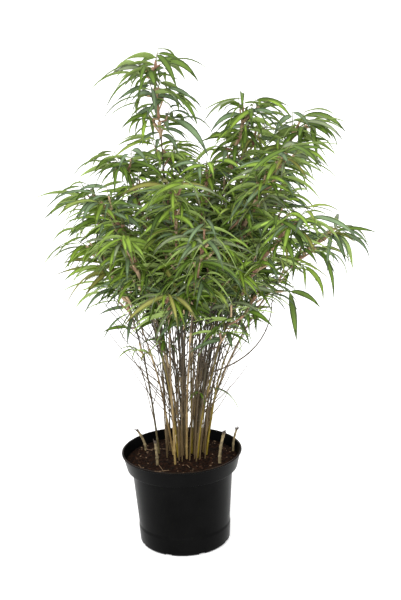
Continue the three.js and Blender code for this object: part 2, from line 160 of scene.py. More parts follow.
# The tallest canes and the arm on the right, in millimetres
PEAKS = [
    dict(name="tall_left", foot=(6, 20), tip=(-22, 15, 888), foliage=190, fine=2, seed=114),
    dict(name="right_peak", foot=(22, 20), tip=(141, 0, 808), foliage=170, fine=3, seed=137),
    dict(name="shoulder_left", foot=(8, 9), tip=(-76, -30, 724), foliage=180, fine=4, seed=334),
    dict(name="middle", foot=(18, 10), tip=(66, -25, 700), foliage=220, fine=4, seed=150),
    dict(name="right_arm", foot=(39, 18), tip=(280, 10, 584), foliage=120, fine=2, seed=114),
]
CROWN_CENTRE = 60  # millimetres to the right, where the foliage spreads from

# Twigs of the leafy stems
LEVEL_SPACING = 62 * MM
TWIGS_PER_LEVEL = 2
LEVEL_START = 0.55  # share of its level where the first twig stands
LEVEL_STEP = 0.2  # and on to the next
TWIG_LENGTH = 58 * MM
TWIG_LENGTHS = [0.7, 1.15]
TWIG_ANGLE = 34
TWIG_STRAY = 10
GOLDEN_ANGLE = 137.5
OUTWARD_PULL = 0.35
TWIG_CHECKS = np.array([0.5, 1])
TWIG_RADII = [1.2 * MM, 0.55 * MM]
TWIG_SIDES = 6
TWIG_STEPS = 5
TWIG_BEND = 0.12  # share of its length that a twig bends up by

# Leaves
LEAVES_PER_TWIG = 4
LEAF_LENGTH = 100 * MM
LEAF_WIDTHS = [10.8 * MM, 13.6 * MM]  # low in the crown and at its top
LEAF_WIDTH_STRAY = [0.8, 1.1]
LEAF_SINK = 0.6 * MM
CHECKED_WIDTH = 16 * MM
LEAF_WIDEST = 0.38
LEAF_DROOPS = [0.36, 0.72]
STEM_TOP = 0.85  # share of its stem where the top twig starts
LEAF_FIRST = 0.93  # share of its twig where the first leaf sits
LEAF_STEP = 0.16  # and down to the next
LEAF_SWING = 58
LEAF_STRAY = 20
LEAF_ROLL = 60
LEAF_CLIMB = [-0.15, 0.5]
LEAF_LENGTHS = [0.75, 1.15]
RETRY_SHRINK = 0.93  # share of its length that a leaf keeps when it is drawn again
RETRY_STRAY = 0.5  # share by which its stray grows each time
LEAF_TRIES = 7
LEAF_CLEARANCE = 9 * MM
LIMB_CLEARANCE = 10 * MM
SPACE_MARGIN = 3 * MM
SPACE_CHECKS = np.array([0.2, 0.4, 0.6, 0.8, 1])  # shares of a leaf that keep to its stem's space
ROOM_CHECKS = np.array([0.15, 0.35, 0.55, 0.75, 0.95])  # shares that keep clear of what is laid
ROOT_ROOM = 0.25  # share of the clearance that a leaf has at its very root
LEAF_LINE_STEPS = 5
LEAF_ROWS = np.array([0.035, 0.06, 0.12, 0.22, 0.34, 0.48, 0.62, 0.76, 0.88, 0.95])
STALK_SHARE = 0.04  # of the leaf's length that is its stalk
STALK_WIDTH = 1.1 * MM
OUTLINE_POWER = 0.62  # below 1 it puts the leaf's widest place nearer to its root
LEAF_FOLD = 18  # degrees that each half rises from the midrib
ROW_POINTS = 6  # across a leaf: its left edge, inner left, midrib, inner right, right edge, and underside
RIGHT_EDGE = 4
INNER_SHARE = 0.56  # share of the half width where the painted shade along the edge starts
# a leaf's upper side, its edges painted darker as shade, and its underside
UPPER_SLOT, PAINTED_SHADE_SLOT, UNDER_SLOT = range(3)
STRIP_SLOTS = [PAINTED_SHADE_SLOT, UPPER_SLOT, UPPER_SLOT, PAINTED_SHADE_SLOT, UNDER_SLOT, UNDER_SLOT]
TIP_ROW = 8  # the row from which a leaf is painted dark up to its tip, as shade
LEAF_THICKNESS = 0.45 * MM
LEAF_TWIST = 26  # degrees from root to tip, at most
LEAF_TURN = 15  # degrees that a drawn leaf turns about its length besides, at most

# Finer growth than the model's
FINE_START = 0.35  # share of its level where its first finer twig stands
FINE_SPREAD = 0.5
FINE_ANGLE = 24
FINE_LEAVES_PER_TWIG = 7
FINE_TWIG_LENGTHS = [0.6, 1.1]
FINE_CLEARANCE = 3 * MM
FINE_LIMB_CLEARANCE = 4 * MM
FINE_TRIES = 4
FINE_STEP = 0.12
FINE_SIZE = 0.78  # of a finer twig's leaves
INNER_LOWEST = 480 * MM  # height above which canes bear leafy side twigs
INNER_SPACING = 46 * MM
INNER_TWIGS_PER_LEVEL = 2
SHOOT_COUNT = 36
CLUMP_CENTRE = np.array([10 * MM, 15 * MM])
SHOOT_FEET = [8 * MM, 42 * MM]
SHOOT_REACH = [55 * MM, 150 * MM]
SHOOT_HEIGHTS = [460 * MM, 660 * MM]
SHOOT_RADII = [1.3 * MM, 0.6 * MM]
SHOOT_CLEARANCE = 4 * MM
SHOOT_CHECKS = [0, 0.1, 0.25, 0.4]  # shares of a shoot that are kept clear of other canes
SHOOT_LEAFY = 110 * MM
SHOOT_LEVELS = 2
SHOOT_SIDES = 8
SIDE_TWIGS = 6
SIDE_TWIG_HEIGHTS = [210 * MM, 430 * MM]
SIDE_TWIG_LENGTHS = [60 * MM, 190 * MM]
SIDE_TWIG_RADII = [0.95 * MM, 0.45 * MM]
SIDE_TWIG_ANGLE = 27
SIDE_TWIG_NODES = [26 * MM, 40 * MM]
ZIGZAG = 1.6 * MM  # how far a limb strays from its curve
ZIGZAG_SPACING = 70 * MM
SHEATH_COVER = 0.62  # share of a leafy twig that its sheath covers
SHEATH_STRAY = [0.7, 1.2]
SHEATH_FOOT = 0.02  # share of the twig where its sheath starts
STEM_SHEATH_COVER = 0.85  # share between two joints of a leafy stem
STEM_SHEATH_RADIUS = 2.6 * MM
TAN_SHEATHS = 0.6  # share of the sheaths in the crown that are tan, the others reddish
STEM_NODES = [34 * MM, 26 * MM]
STEM_SIDES = 10
STEM_START = 0.995  # share of its cane where a leafy stem starts, so that the two join

# Single twigs, sparse ones below the crown and some at its top and on its right arm: the cane, the height
# on it in millimetres, azimuth and climb, length, number of leaves, their size and tone, and added droop
SINGLE_TWIGS = [
    ("skirt_2", 362, 205, 0.9, 14, 5, 0.48, "mid", 0.0),
    ("skirt_2", 410, 200, 0.2, 16, 3, 0.55, "deep", 0.0),
    ("low_3", 330, 270, 0.8, 14, 3, 0.35, "deep", 0.0),
    ("upper_1", 366, 0, 0.3, 20, 1, 0.6, "deep", 0.1),
    ("upper_1", 440, -100, 0.1, 12, 4, 0.8, "olive", 0.9),
    ("low_7", 430, -20, 0.2, 16, 2, 0.6, "deep", 0.5),
    ("low_7", 300, 10, 0.6, 14, 1, 0.8, "shade", 0.35),
    ("upper_7", 290, -120, 0.9, 12, 3, 0.38, "deep", 0.1),
    ("low_4", 372, 240, 0.5, 14, 4, 0.4, "olive", 0.0),
    ("upper_5", 400, 280, 0.5, 14, 4, 0.5, "deep", 0.1),
    ("tall_left", 884, -5, 0.5, 24, 3, 1.15, "deep", 0.05),
    ("tall_left", 866, 175, 0.3, 30, 4, 1.0, "deep", 0.15),
    ("tall_left", 836, 185, 0.1, 26, 4, 0.95, "blue", 0.2),
    ("tall_left", 832, 5, 0.2, 28, 3, 0.95, "deep", 0.2),
    ("tall_left", 792, 0, 0.1, 34, 3, 1.1, "blue", 0.1),
    ("tall_left", 796, 190, 0.1, 24, 4, 0.85, "mid", 0.35),
    ("right_peak", 738, 180, 0.3, 34, 3, 0.8, "mid", 0.1),
    ("upper_1", 766, -10, 0.1, 30, 5, 1.0, "deep", 0.3),
    ("upper_1", 705, -15, 0.1, 36, 4, 0.9, "grey", 0.2),
    ("low_7", 636, -5, 0.3, 30, 3, 0.9, "blue", 0.2),
    ("right_arm", 582, -10, -0.1, 16, 4, 1.1, "blue", 0.45),
    ("right_arm", 556, -25, -0.1, 20, 3, 1.1, "deep", 0.45),
    ("right_arm", 528, -35, -0.1, 20, 3, 1.0, "mid", 0.45),
]
SINGLE_CLEARANCE = 1.5 * MM

# The thin stem that arches out on the right below the crown, with its pair of hanging leaves
ARCH = [(62, -34, 342), (179, -32, 372), (174, -30, 487)]
ARCH_TWIG_END = (205, -28, 487)
ARCH_RADII = [1.5 * MM, 0.9 * MM]
HANGING_LEAVES = [
    dict(azimuth=-60, climb=-3.2, length=92, droop=0.5, roll=0),
    dict(azimuth=5, climb=-0.1, length=76, droop=0.62, roll=55),
]
HANGING_WIDTH = 1.5  # as a share of other leaves' width

# Old cut canes, in millimetres
STUBS = [
    dict(name="left", foot=(-70, 48), height=38, lean=(-14, 4), radius=2.6),
    dict(name="front_left", foot=(-46, -24), height=42, lean=(-2, 2), radius=2.8),
    dict(name="right", foot=(70, -28), height=56, lean=(10, 6), radius=3),
    dict(name="far_right", foot=(97, 29), height=42, lean=(8, 2), radius=2.3),
]
STUB_TAPER = 0.85
STUB_NODES = [18 * MM, 22 * MM]
FRAY_COUNT = 7
FRAY_LENGTHS = [3 * MM, 9 * MM]
FRAY_START = 0.97  # share of a cut cane where its ragged end starts
FRAY_PLACE = 0.6  # share of the cut cane's radius
FRAY_SPREAD = [0.1, 0.7]
FRAY_RADII = np.array([0.42, 0.36, 0.25, 0.08])  # shares of the cut cane's radius
FRAY_SIDES = 5

# Streams
STREAM_STRIDE = 7919
STREAM_START = 12345
STREAM_FACTOR = 16807
STREAM_MODULUS = 2147483647
STREAM_WARM_UP = 5
FINE_SEED = 301
INNER_SEED = 500
SHOOT_SEED = 700
SIDE_SEED = 800
SINGLE_SEED = 870
CHIP_SEED = 900
CANE_SEED = 901
STUB_SEED = 902
TWIG_SEED = 903
LEAF_SEED = 904
STEM_SEED = 905
THIN_SEED = 906

# Canes and stems: base colour at the foot of the plant and at its crown
CANE_TONES = {
    "cane_olive": ((0.25, 0.18, 0.018), (0.064, 0.06, 0.034)),
    "cane_tan": ((0.28, 0.195, 0.07), (0.1, 0.074, 0.06)),
    "cane_grey": ((0.1, 0.078, 0.03), (0.033, 0.03, 0.026)),
    "cane_thin": ((0.13, 0.09, 0.04), (0.034, 0.027, 0.022)),
    "stem_bark": ((0.2, 0.15, 0.08), (0.17, 0.12, 0.065)),
}
GROWN_TONES = ["cane_olive", "cane_tan", "cane_grey"]

# Plain materials: base colour, roughness, size of its patches and contrast
PLAIN = {
    "old_sheath": ((0.33, 0.25, 0.14), 0.75, 12 * MM, 0.3),
    "sheath_tan": ((0.4, 0.28, 0.17), 0.7, 6 * MM, 0.3),
    "sheath_red": ((0.26, 0.145, 0.09), 0.7, 6 * MM, 0.3),
    "twig_green": ((0.13, 0.13, 0.045), 0.5, 6 * MM, 0.3),
    "cut_cane": ((0.17, 0.13, 0.065), 0.7, 5 * MM, 0.6),
    "frayed_end": ((0.06, 0.045, 0.035), 0.9, 3 * MM, 0.3),
}

# Ramps of colour: a place from 0 to 1 on a noise, and the colour there
POT_BLACKS = [(0.3, (0.001, 0.001, 0.001)), (0.75, (0.0022, 0.0022, 0.0022))]
POT_DUST = [(0.3, (0.006, 0.004, 0.003)), (0.75, (0.03, 0.02, 0.014))]
COMPOST_BROWNS = [
    (0.3, (0.0022, 0.0008, 0.0003)),
    (0.5, (0.01, 0.0036, 0.0014)),
    (0.72, (0.034, 0.0135, 0.0055)),
]
CANE_SPOTS = [(0.42, (1, 1, 1)), (0.7, (0.5, 0.45, 0.4))]

# Leaf tones: base colour of the upper side, and its shares of the sprays in the crown's middle and in its
# darker parts, which are its foot, its top and its right side
LEAF_TONES = {
    "mid": ((0.178, 0.272, 0.032), 0.24, 0.12),
    "bright": ((0.208, 0.318, 0.044), 0.18, 0.05),
    "deep": ((0.09, 0.15, 0.02), 0.18, 0.3),
    "blue": ((0.125, 0.182, 0.09), 0.12, 0.26),
    "grey": ((0.18, 0.22, 0.115), 0.08, 0.14),
    "fresh": ((0.23, 0.3, 0.06), 0.06, 0.02),
    "olive": ((0.21, 0.21, 0.05), 0.08, 0.06),
    "shade": ((0.05, 0.085, 0.016), 0.06, 0.05),
}
EDGE_PAINTED_SHADE = 0.45  # of a leaf's colour, painted along its edges and at its tip as shade
CROWN_HEIGHTS = [0.5, 0.58, 0.66, 0.84]  # metres: the crown's foot, its middle from and to, and its top
CROWN_RIGHT = [0.12, 0.24]  # metres: from here to here leaves turn darker towards the right
LEAF_UNDERSIDE = (0.24, 0.33, 0.09)
# roughness of a leaf's upper side, of its edges painted darker as shade, and of its underside
LEAF_ROUGHNESS = {"upper": 0.48, "painted_shade_edge": 0.5, "under": 0.6}

# Camera, fitted to the pot's rim, collar and foot
CAMERA_PLACE = (0.0458, -2.2, 1.0904)
CAMERA_AIM = (0.0458, 0, 0.469)
CAMERA_ROLL = -0.038
FOCAL_PIXELS = 1260.5
LONG_SIDE_PIXELS = 600
SENSOR_WIDTH = 36

# Stage
FLOOR_RADIUS = 40
FLOOR_SIDES = 64
FLOOR_WHITE = (0.93, 0.93, 0.93, 1)
FLOOR_DROP = 0.3 * MM
FLOOR_GLOW = 0.25  # keeps the floor white where the plant shades it
SURROUND_STRENGTH = 1
KEY_POWER = 3.5
KEY_SOFTNESS = 80
KEY_DIRECTION = (0.22, 0.85, -0.62)


def stream(seed):
    """A repeatable stream of numbers from 0 to 1."""
    state = seed * STREAM_STRIDE + STREAM_START

    def following():
        nonlocal state
        state = (state * STREAM_FACTOR) % STREAM_MODULUS
        return state / STREAM_MODULUS

    for _ in range(STREAM_WARM_UP):
        following()
    return following


def between(draw, low, high):
    return low + (high - low) * draw()


def either_way(draw, most):
    """A number up to some size on either side of 0."""
    return between(draw, -most, most)


def unit(vector):
    return vector / np.linalg.norm(vector, axis=-1, keepdims=True)


def heading(azimuth, climb=0.0):
    """A direction at an azimuth in radians, rising by climb for each 1 outwards."""
    return unit(np.array([math.cos(azimuth), math.sin(azimuth), climb]))


class Curve:
    """A quadratic curve with three control points."""

    def __init__(self, start, control, end):
        self.controls = np.array([start, control, end], float)

    def at(self, share):
        """The point at a share of the curve, or the points at several."""
        share = np.asarray(share, float)[..., None]
        start, control, end = self.controls
        return (1 - share) ** 2 * start + 2 * share * (1 - share) * control + share**2 * end

    def slope(self, share):
        share = np.asarray(share, float)[..., None]
        start, control, end = self.controls
        return (control - start) + share * ((end - control) - (control - start))

    def tangent(self, share):
        return unit(self.slope(share))

    def line(self, steps):
        return self.at(np.linspace(0, 1, steps + 1))

    def length(self):
        return np.linalg.norm(np.diff(self.line(LENGTH_STEPS), axis=0), axis=1).sum()

    def stretch(self, low, high):
        """The part of the curve between two shares of it."""
        start = self.at(low)
        return Curve(start, start + self.slope(low) * (high - low), self.at(high))


def straight(start, end, bend=0):
    """A curve between two points, straight unless its middle is pulled aside."""
    return Curve(start, (start + end) / 2 + bend, end)


def arching(start, tip):
    """A cane's curve, which leaves its foot steeply and then arches outwards."""
    return Curve(start, start + (tip - start) * [CANE_BOW_OUT, CANE_BOW_OUT, CANE_BOW_UP], tip)


class Lines:
    """Pieces of line that a twig or leaf keeps clear of."""

    def __init__(self, lines=()):
        self.starts = np.empty((0, 3))
        self.ends = np.empty((0, 3))
        for line in lines:
            self.add(line)

    def add(self, line):
        self.starts = np.concatenate([self.starts, line[:-1]])
        self.ends = np.concatenate([self.ends, line[1:]])

    def distances(self, points):
        """The distance from each point to each piece of line."""
        along = self.ends - self.starts
        offset = points[:, None] - self.starts
        share = (offset * along).sum(-1) / (along * along).sum(-1)
        return np.linalg.norm(offset - np.clip(share, 0, 1)[..., None] * along, axis=-1)


class Cane:
    """A cane's bare limb, and the leafy stem that carries on from its tip, made from millimetres."""

    def __init__(self, name, foot, tip, foliage, fine, seed, centre=CROWN_CENTRE):
        curve = arching(np.array([*np.array(foot) * MM, SOIL_TOP + SEAT_GAP]), np.array(tip) * MM)
        length = curve.length()
        entry = 1 - foliage * MM / length
        self.name = name
        self.centre = centre * MM
        self.bare = curve.stretch(0, entry)
        self.stem = curve.stretch(entry + SEAT_GAP / length, 1)
        self.levels = round(foliage * MM / LEVEL_SPACING)
        self.fine = fine
        self.seed = seed


def ring_canes(ring, seed):
    """The canes of a ring, each straying a little from its even place."""
    draw = stream(seed)
    canes = []
    for i in range(ring["count"]):
        azimuth = math.radians(ring["phase"] + i * ring["step"] + either_way(draw, RING_WANDER))
        foot_radius = ring["foot"] + either_way(draw, FOOT_WANDER)
        stray = either_way(draw, RING_WANDER)
        rise = ring["right"] * math.cos(azimuth) - ring["front"] * math.sin(azimuth)
        height = ring["height"] + rise + either_way(draw, RING_WANDER)
        around = np.array([math.cos(azimuth), math.sin(azimuth)])
        foot = ring["foot_centre"] + foot_radius * around
        spread = np.array([ring["reach"], ring["depth"]]) + stray
        tip = np.array([ring["centre"], 0, height]) + [*(spread * around), 0]
        name = f"{ring['name']}_{i + 1}"
        canes.append(Cane(name, foot, tip, ring["foliage"], ring["fine"], ring["seed"] + i, ring["centre"]))
    return canes


CANES = [cane for seed, ring in enumerate(RINGS, 1) for cane in ring_canes(ring, seed)]
CANES += [Cane(**peak) for peak in PEAKS]
BARE_LINES = Lines([cane.bare.line(BARE_LINE_STEPS) for cane in CANES])
STEM_LINES = Lines([cane.stem.line(STEM_LINE_STEPS) for cane in CANES])


def keeps_to_its_space(points, own):
    """Whether points lie in the space nearest to a cane's own stem, and clear of every cane."""
    if BARE_LINES.distances(points).min() <= LIMB_CLEARANCE:
        return False
    to_stems = STEM_LINES.distances(points).reshape(len(points), len(CANES), STEM_LINE_STEPS).min(-1)
    index = CANES.index(own)
    others = np.delete(to_stems, index, axis=1)
    return bool((others > to_stems[:, index, None] + SPACE_MARGIN).all())


def keeps_in_reach(points):
    """Whether points stay within the reach of the model."""
    return bool((points > np.array(CAD_LOW)).all() and (points < np.array(CAD_HIGH)).all())


def keeps_to_the_crown(points):
    """Whether points stay within the reach of the model and clear of every cane."""
    return keeps_in_reach(points) and BARE_LINES.distances(points).min() > FINE_LIMB_CLEARANCE


# How leaves grow: their number on a twig, their room, the test of their space, their size and added droop
Rule = namedtuple("Rule", "leaves step clearance tries in_space size droop", defaults=[1, 0])
FINE_RULE = Rule(FINE_LEAVES_PER_TWIG, FINE_STEP, FINE_CLEARANCE, FINE_TRIES, keeps_to_the_crown, FINE_SIZE)


def leaf_curve(root, direction, length, droop):
    """A leaf's curve: out along its direction, then over and down."""
    middle = root + direction * length / 2
    fall = unit(direction + (DOWN - direction) * droop)
    return Curve(root, middle, middle + fall * length / 2)


def rolled(azimuth, direction, roll):
    """The level direction across a heading, rolled about it."""
    level = np.array([math.sin(azimuth), -math.cos(azimuth), 0])
    return level * math.cos(roll) + np.cross(direction, level) * math.sin(roll)


def clears_all(curve, laid, clearance):
    """Whether a leaf is clear of the stem, twigs and leaves that are laid already."""
    least = clearance * np.minimum(1, ROOM_CHECKS + ROOT_ROOM)
    return bool((laid.distances(curve.at(ROOM_CHECKS)) > least[:, None]).all())


def leaf_at(place, azimuth, laid, draw, rule):
    """A leaf's curve and side, drawn again a little shorter until it has room, or None."""
    length = LEAF_LENGTH * between(draw, *LEAF_LENGTHS) * rule.size
    for attempt in range(rule.tries):
        stray = LEAF_STRAY * (1 + RETRY_STRAY * attempt)
        turn = azimuth + math.radians(either_way(draw, stray))
        direction = heading(turn, between(draw, *LEAF_CLIMB) - rule.droop)
        droop = between(draw, *LEAF_DROOPS) + rule.droop
        side = rolled(turn, direction, math.radians(either_way(draw, LEAF_ROLL)))
        curve = leaf_curve(place - direction * LEAF_SINK, direction, length, droop)
        edges = curve.at(LEAF_WIDEST) + np.outer([0.5, -0.5], side * CHECKED_WIDTH)
        points = np.concatenate([curve.at(SPACE_CHECKS), edges])
        if clears_all(curve, laid, rule.clearance) and rule.in_space(points):
            laid.add(curve.line(LEAF_LINE_STEPS)[1:])
            return curve, side
        length *= RETRY_SHRINK
    return None


def twig_direction(limb, centre, share, index, angle, draw):
    """Nearly along the limb, turned about it, and a little outwards from a centre."""
    start = limb.at(share)
    around = math.radians(GOLDEN_ANGLE * index + either_way(draw, TWIG_STRAY))
    outward = unit(np.array([start[0] - centre, start[1], 0]))
    radial = unit(heading(around) + outward * OUTWARD_PULL)
    lean = math.radians(angle + either_way(draw, TWIG_STRAY))
    return unit(limb.tangent(share) * math.cos(lean) + radial * math.sin(lean))


def leaves_of(twig, laid, draw, rule):
    """The leaves of a twig, from its tip down, to alternate sides."""
    along = twig.tangent(0)
    azimuth = math.atan2(along[1], along[0])
    leaves = []
    for i in range(rule.leaves):
        swing = math.radians(LEAF_SWING * math.ceil(i / 2) * (1 if i % 2 == 0 else -1))
        place = twig.at(LEAF_FIRST - rule.step * i)
        leaves.append(leaf_at(place, azimuth + swing, laid, draw, rule))
    return [leaf for leaf in leaves if leaf]


def model_twigs(cane, draw):
    """The twigs of a stem that the model has too, level by level."""
    twigs = []
    for i in range(cane.levels * TWIGS_PER_LEVEL):
        level, place = divmod(i, TWIGS_PER_LEVEL)
        share = (level + LEVEL_START + LEVEL_STEP * place) / cane.levels
        direction = twig_direction(cane.stem, cane.centre, share, i, TWIG_ANGLE, draw)
        start = cane.stem.at(share)
        twig = straight(start, start + direction * TWIG_LENGTH * between(draw, *TWIG_LENGTHS))
        if keeps_to_its_space(twig.at(TWIG_CHECKS), cane):
            twigs.append(twig)
    return twigs


# A twig and the leaves that it bears, with their tone, if it is set, and how wide they are
Spray = namedtuple("Spray", "twig leaves tone width", defaults=[None, 1])


def finer_sprays(limb, centre, lowest, levels, per_level, laid, seed):
    """More sprays on a limb, above a share of it, in the same levels, whose twigs bend up a little."""
    draw = stream(seed)
    twigs = []
    for i in range(levels * per_level):
        level, place = divmod(i, per_level)
        share = lowest + (1 - lowest) * (level + FINE_START + FINE_SPREAD * place / per_level) / levels
        direction = twig_direction(limb, centre, share, i + 0.5, FINE_ANGLE, draw)
        length = TWIG_LENGTH * between(draw, *FINE_TWIG_LENGTHS)
        start = limb.at(share)
        twigs.append(straight(start, start + direction * length, DOWN * TWIG_BEND * length))
    return [Spray(twig, leaves_of(twig, laid, draw, FINE_RULE)) for twig in twigs]


def share_at(curve, height):
    """The share of a rising curve where it reaches a height, or 1 if it doesn't."""
    heights = curve.at(np.linspace(0, 1, LENGTH_STEPS + 1))[:, 2]
    return min(1, np.searchsorted(heights, height) / LENGTH_STEPS)


def grow(cane, seed):
    """The sprays of one leafy stem: the model's own, and then finer ones."""
    draw = stream(cane.seed)
    twigs = model_twigs(cane, draw)
    laid = Lines([cane.stem.line(STEM_LINE_STEPS), *[twig.line(1) for twig in twigs]])
    top = straight(cane.stem.at(STEM_TOP), cane.stem.at(1))
    in_space = partial(keeps_to_its_space, own=cane)
    rule = Rule(LEAVES_PER_TWIG, LEAF_STEP, LEAF_CLEARANCE, LEAF_TRIES, in_space)
    sprays = [Spray(twig, leaves_of(twig, laid, draw, rule)) for twig in [top, *twigs]]
    return sprays + finer_sprays(cane.stem, cane.centre, 0, cane.levels, cane.fine, laid, seed + FINE_SEED)


def grow_inside(cane, seed):
    """Leafy side twigs on the part of a cane that runs up through the crown."""
    lowest = share_at(cane.bare, INNER_LOWEST)
    if lowest == 1:
        return []
    levels = max(1, round(cane.bare.length() * (1 - lowest) / INNER_SPACING))
    laid = Lines([cane.bare.line(BARE_LINE_STEPS)])
    seed += INNER_SEED
    return finer_sprays(cane.bare, cane.centre, lowest, levels, INNER_TWIGS_PER_LEVEL, laid, seed)


def shoots():
    """The curves of thin young canes among the others."""
    draw = stream(SHOOT_SEED)
    taken = Lines([cane.bare.line(BARE_LINE_STEPS) for cane in CANES])
    grown = []
    index = 0
    while len(grown) < SHOOT_COUNT:
        index += 1
        azimuth = math.radians(GOLDEN_ANGLE * index + either_way(draw, RING_WANDER))
        foot = heading(azimuth)[:2] * between(draw, *SHOOT_FEET) + CLUMP_CENTRE
        reach = heading(azimuth)[:2] * between(draw, *SHOOT_REACH) + [CROWN_CENTRE * MM, 0]
        tip = np.array([*reach, between(draw, *SHOOT_HEIGHTS)])
        curve = arching(np.array([*foot, SOIL_TOP]), tip)
        if taken.distances(curve.at(SHOOT_CHECKS)).min() > SHOOT_CLEARANCE:
            taken.add(curve.line(BARE_LINE_STEPS))
            grown.append(curve)
    return grown


def grow_on_shoot(curve, seed):
    """The sprays near the tip of a thin young cane."""
    lowest = 1 - SHOOT_LEAFY / curve.length()
    laid = Lines([curve.line(STEM_LINE_STEPS)])
    centre, seed = CROWN_CENTRE * MM, seed + SHOOT_SEED
    return finer_sprays(curve, centre, lowest, SHOOT_LEVELS, INNER_TWIGS_PER_LEVEL, laid, seed)


def side_twigs(cane, seed):
    """Fine bare twigs that rise beside a cane below the crown."""
    draw = stream(seed + SIDE_SEED)
    twigs = []
    for i in range(SIDE_TWIGS):
        share = share_at(cane.bare, between(draw, *SIDE_TWIG_HEIGHTS))
        if share == 1:
            continue
        start = cane.bare.at(share)
        length = between(draw, *SIDE_TWIG_LENGTHS)
        lean = math.radians(SIDE_TWIG_ANGLE + either_way(draw, TWIG_STRAY))
        radial = heading(math.radians(GOLDEN_ANGLE * i + 360 * draw()))
        along = cane.bare.tangent(share)
        end = start + length * unit(along * math.cos(lean) + radial * math.sin(lean))
        twigs.append(straight(start, end, radial * TWIG_BEND * length))
    return twigs


def single_sprays():
    """The sprays of the single twigs."""
    draw = stream(SINGLE_SEED)
    sprays = []
    for name, height, azimuth, climb, length, leaves, size, tone, droop in SINGLE_TWIGS:
        cane = next(cane for cane in CANES if cane.name == name)
        limb = cane.bare if height * MM < cane.bare.at(1)[2] else cane.stem
        start = limb.at(share_at(limb, height * MM))
        twig = straight(start, start + heading(math.radians(azimuth), climb) * length * MM)
        laid = Lines([limb.line(BARE_LINE_STEPS)])
        rule = Rule(leaves, FINE_STEP, SINGLE_CLEARANCE, FINE_TRIES, keeps_in_reach, size, droop)
        sprays.append(Spray(twig, leaves_of(twig, laid, draw, rule), tone))
    return sprays


def arch_spray(arch):
    """The twig at the end of the arched stem, with its hanging leaves."""
    twig = straight(arch.at(1), np.array(ARCH_TWIG_END) * MM)
    leaves = []
    for leaf in HANGING_LEAVES:
        azimuth = math.radians(leaf["azimuth"])
        direction = heading(azimuth, leaf["climb"])
        curve = leaf_curve(twig.at(1), direction, leaf["length"] * MM, leaf["droop"])
        leaves.append((curve, rolled(azimuth, direction, math.radians(leaf["roll"]))))
    return Spray(twig, leaves, "deep", HANGING_WIDTH)


class Batch:
    """Points and faces of many small shapes, gathered for one mesh."""

    def __init__(self):
        self.points = []
        self.faces = []
        self.slots = []
        self.count = 0

    def add(self, shape, slots=0):
        """Adds a shape's points and faces; slots gives one material number, or one for each face."""
        points, faces = shape
        self.points.append(points)
        self.faces.extend([[corner + self.count for corner in face] for face in faces])
        self.slots.extend(slots if isinstance(slots, list) else [slots] * len(faces))
        self.count += len(points)


def circle(sides):
    """The corners of an even polygon of radius 1."""
    turns = np.arange(sides) * 2 * math.pi / sides
    return np.stack([np.cos(turns), np.sin(turns)], axis=1)


def ring_faces(rings, sides):
    """The faces between rings of corners, one after another."""
    return [
        [i * sides + k, i * sides + (k + 1) % sides, (i + 1) * sides + (k + 1) % sides, (i + 1) * sides + k]
        for i in range(rings - 1)
        for k in range(sides)
    ]


BOX_RIM = [(-0.5, -0.5), (0.5, -0.5), (0.5, 0.5), (-0.5, 0.5)]
BOX_CORNERS = [(x, y, z) for z in (-0.5, 0.5) for x, y in BOX_RIM]
BOX_FACES = ring_faces(2, 4) + [[3, 2, 1, 0], [4, 5, 6, 7]]


def tube(line, radii, sides=CANE_SIDES):
    """A closed tube along a line of points, with a radius at each."""
    along = unit(np.gradient(line, axis=0))
    across = unit(ASIDE - (along @ ASIDE)[:, None] * along)
    third = np.cross(along, across)
    corners = circle(sides)
    spokes = corners[:, :1] * across[:, None] + corners[:, 1:] * third[:, None]
    points = (line[:, None] + np.asarray(radii)[:, None, None] * spokes).reshape(-1, 3)
    first_end = list(range(sides))[::-1]
    last_end = list(range(len(points) - sides, len(points)))
    return points, [*ring_faces(len(line), sides), first_end, last_end]


def tube_from(start, line, radii, sides=CANE_SIDES):
    """A tube along a line of points that carries on back to a start of its own."""
    return tube(np.concatenate([[start], line]), [radii[0], *radii], sides)


def root_of(curve):
    """Where a cane ends down in the compost."""
    return curve.at(0) - curve.tangent(0) * ROOTING_DEPTH


def lathe(outline, sides):
    """A closed shape turned about Z. The outline starts and ends on the axis."""
    rim = circle(sides)
    rings = [np.column_stack([rim * radius, np.full(sides, height)]) for radius, height in outline[1:-1]]
    first = np.array([[0, 0, outline[0][1]]])
    last = np.array([[0, 0, outline[-1][1]]])
    faces = [[corner + 1 for corner in face] for face in ring_faces(len(rings), sides)]
    top = len(rings) * sides + 1
    for k in range(sides):
        following = (k + 1) % sides
        faces.append([0, following + 1, k + 1])
        faces.append([top, top - sides + k, top - sides + following])
    return np.concatenate([first, *rings, last]), faces


def rounded(outline, radius):
    """An outline with each of its inner corners drawn as a small arc."""
    points = [outline[0]]
    for before, corner, after in zip(outline, outline[1:], outline[2:]):
        corner = np.array(corner)
        start, end = (
            corner + unit(other - corner) * min(radius, np.linalg.norm(other - corner) / 2)
            for other in (before, after)
        )
        points.extend(Curve(start, corner, end).line(FILLET_STEPS))
    return [*points, outline[-1]]


def leaf_half_widths(width):
    """Half the leaf's width at each of its rows: a short stalk, then a blade with a long point."""
    blade = np.clip((LEAF_ROWS - STALK_SHARE) / (1 - STALK_SHARE), 0, 1)
    return np.maximum(np.sin(math.pi * blade**OUTLINE_POWER) * width, STALK_WIDTH) / 2


